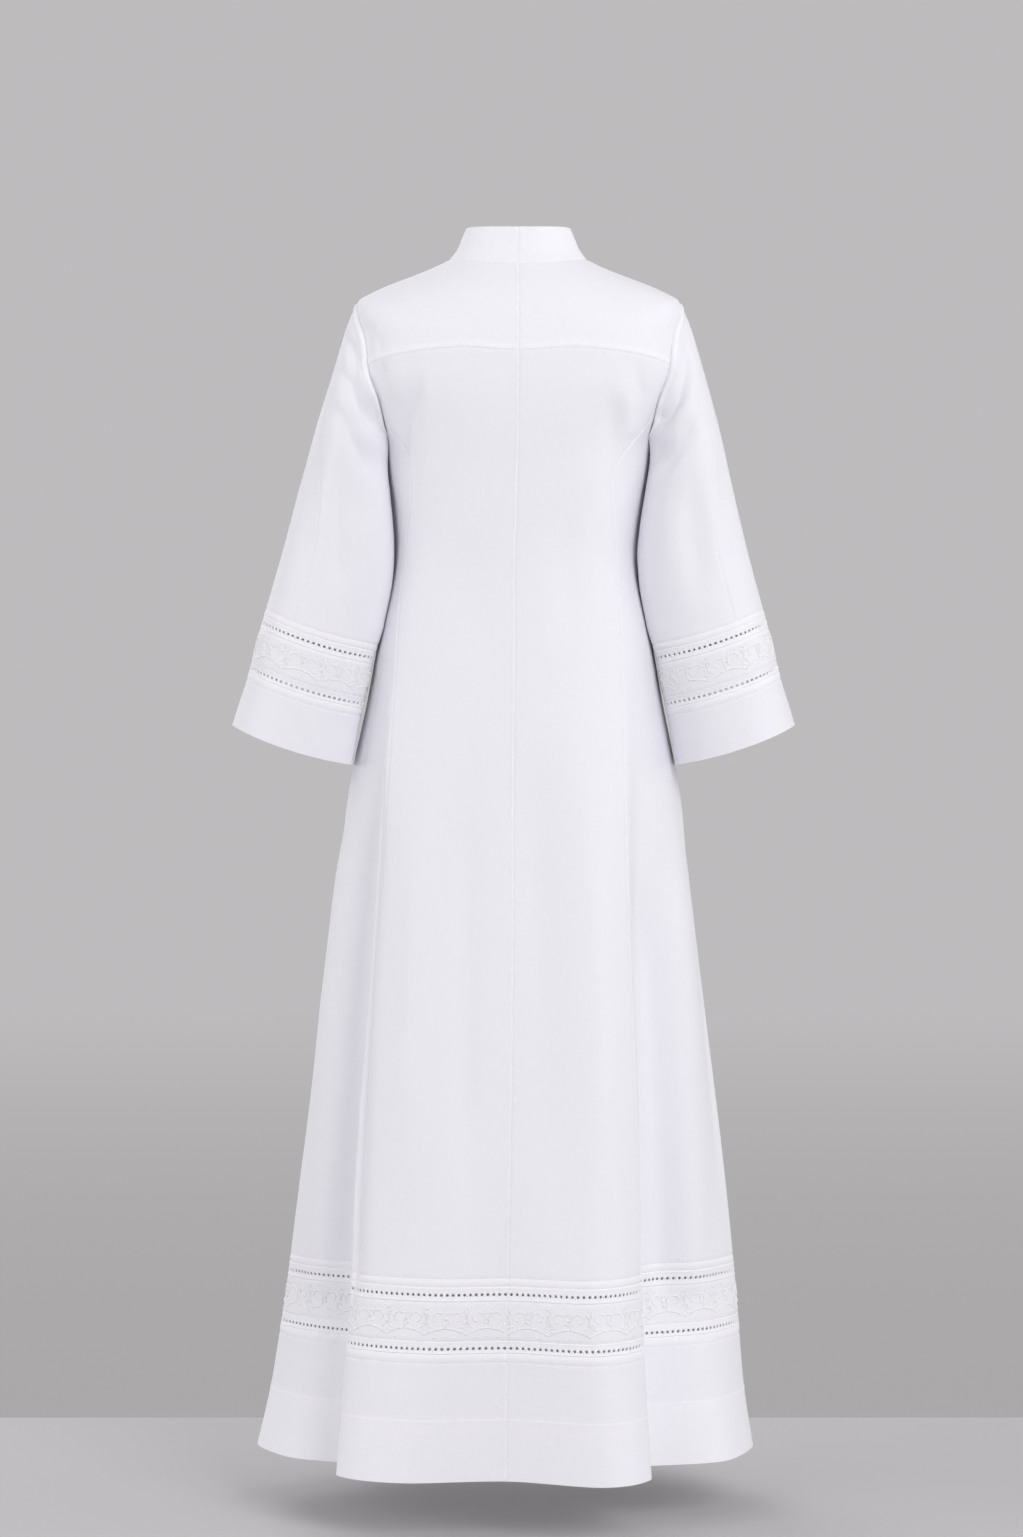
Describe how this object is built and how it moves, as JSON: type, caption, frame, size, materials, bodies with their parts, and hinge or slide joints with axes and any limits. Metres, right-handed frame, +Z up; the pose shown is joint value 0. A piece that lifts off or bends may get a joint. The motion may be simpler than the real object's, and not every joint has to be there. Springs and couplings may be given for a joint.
{
  "type": "alb robe",
  "caption": "Long white vestment in its worn form: stand collar, back yoke, princess seams, flared sleeves and an A-line skirt, with an openwork embroidered band on each.",
  "frame": {"origin": "middle of the neck opening, level with the base of the collar at the centre back, where the robe sits on the neck and shoulders", "axes": "+Z up, -Y towards the robe's front, +X towards the wearer's left"},
  "size_m": [0.6524, 0.496, 1.4158],
  "materials": {
    "robe_cloth": "matt plain weave, white",
    "band_cloth": "white embroidery on a fine white weave, between rows of hemstitch holes"
  },
  "bodies": {
    "root": {"collar_left": "robe_cloth", "collar_right": "robe_cloth", "yoke_left": "robe_cloth", "yoke_right": "robe_cloth", "back_left": "robe_cloth", "back_right": "robe_cloth", "side_back_left": "robe_cloth", "side_back_right": "robe_cloth", "front_left": "robe_cloth", "front_right": "robe_cloth", "skirt_band_left": "band_cloth", "skirt_band_right": "band_cloth", "hem_left": "robe_cloth", "hem_right": "robe_cloth", "sleeve_back_left": "robe_cloth", "sleeve_back_right": "robe_cloth", "sleeve_front_left": "robe_cloth", "sleeve_front_right": "robe_cloth", "sleeve_band_left": "band_cloth", "sleeve_band_right": "band_cloth", "cuff_left": "robe_cloth", "cuff_right": "robe_cloth"}
  },
  "joints": []
}
